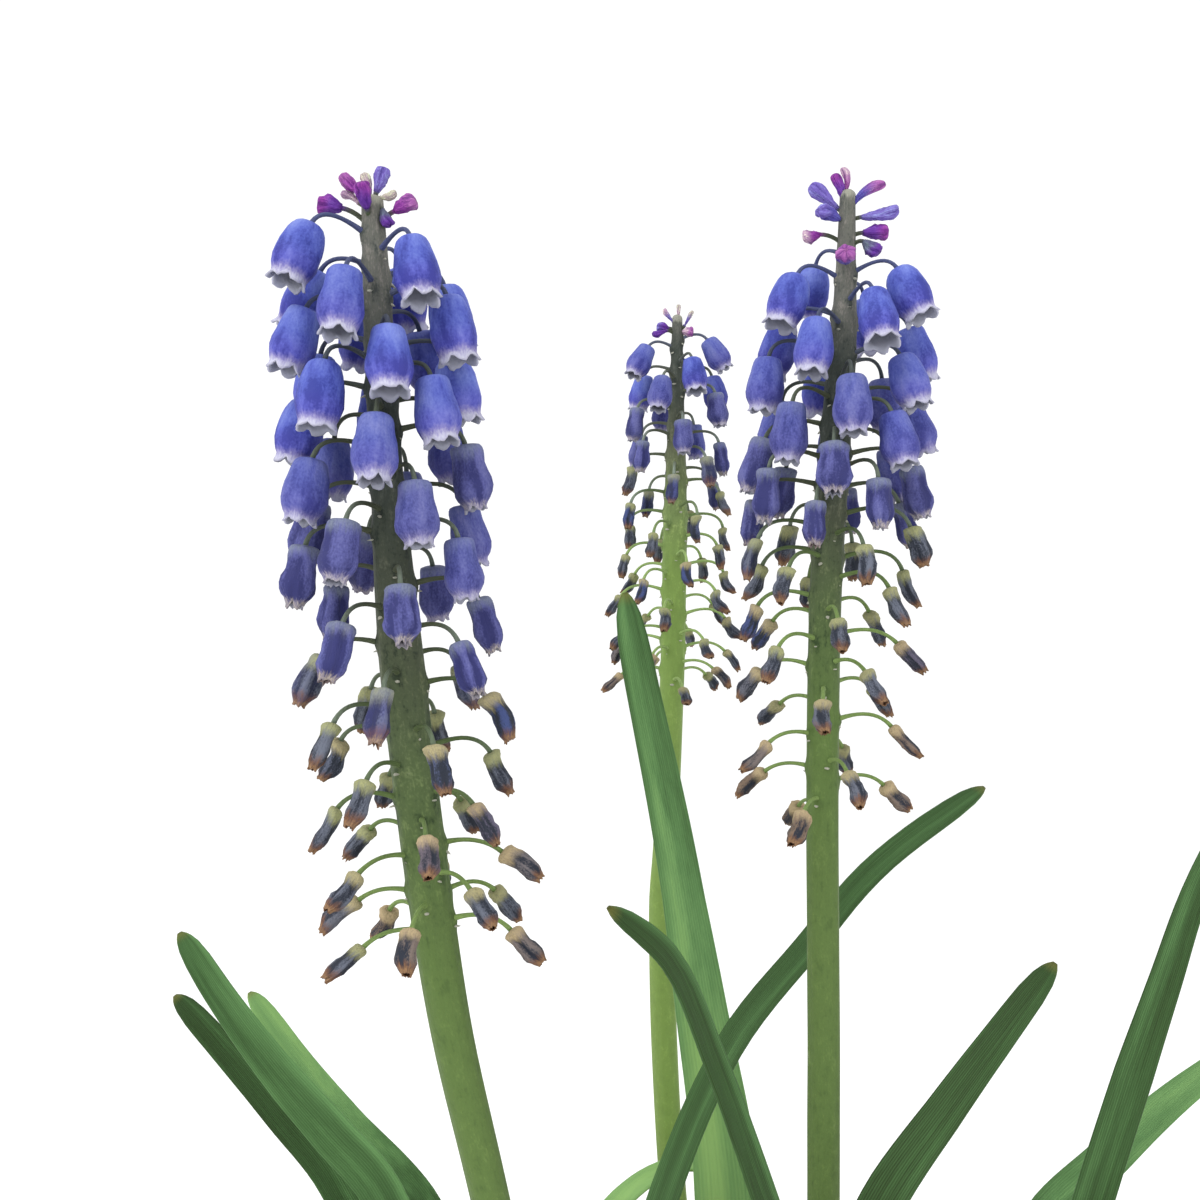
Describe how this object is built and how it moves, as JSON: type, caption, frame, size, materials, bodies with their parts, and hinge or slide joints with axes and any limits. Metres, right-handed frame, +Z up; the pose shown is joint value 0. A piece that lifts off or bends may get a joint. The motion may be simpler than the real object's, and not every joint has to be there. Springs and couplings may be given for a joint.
{
  "type": "grape hyacinth in a pot",
  "caption": "Pot of flowering grape hyacinths: upright racemes of small blue bells over strap leaves, with bulbs in soil in a plain clay pot.",
  "frame": {"origin": "middle of the pot's foot, on the surface it stands on", "axes": "+Z up along the pot's axis, -Y towards the front of the plant, +X to its right"},
  "size_m": [0.1241, 0.1238, 0.2111],
  "materials": {
    "clay": "matte",
    "potting_soil": "matte",
    "bulb_skin": "matte",
    "leaf_green": "satin",
    "raceme_blue": "satin"
  },
  "bodies": {
    "root": {"pot": "clay", "soil": "potting_soil", "bulb_left": "bulb_skin", "bulb_right": "bulb_skin", "bulb_back": "bulb_skin", "bulb_side_right": "bulb_skin", "bulb_side_left": "bulb_skin", "leaf_front": "leaf_green", "leaf_middle": "leaf_green", "leaf_crossing": "leaf_green", "leaf_right": "leaf_green", "leaf_far_right": "leaf_green", "leaf_low_right": "leaf_green", "leaf_left": "leaf_green", "leaf_left_behind": "leaf_green", "leaf_left_back": "leaf_green", "leaf_low_middle": "leaf_green", "leaf_arch_front_left": "leaf_green", "leaf_arch_front": "leaf_green", "leaf_arch_front_right": "leaf_green", "leaf_arch_right": "leaf_green", "leaf_arch_back": "leaf_green", "leaf_arch_back_left": "leaf_green", "leaf_arch_left": "leaf_green", "raceme_left": "raceme_blue", "raceme_right": "raceme_blue", "raceme_back": "raceme_blue"}
  },
  "joints": []
}
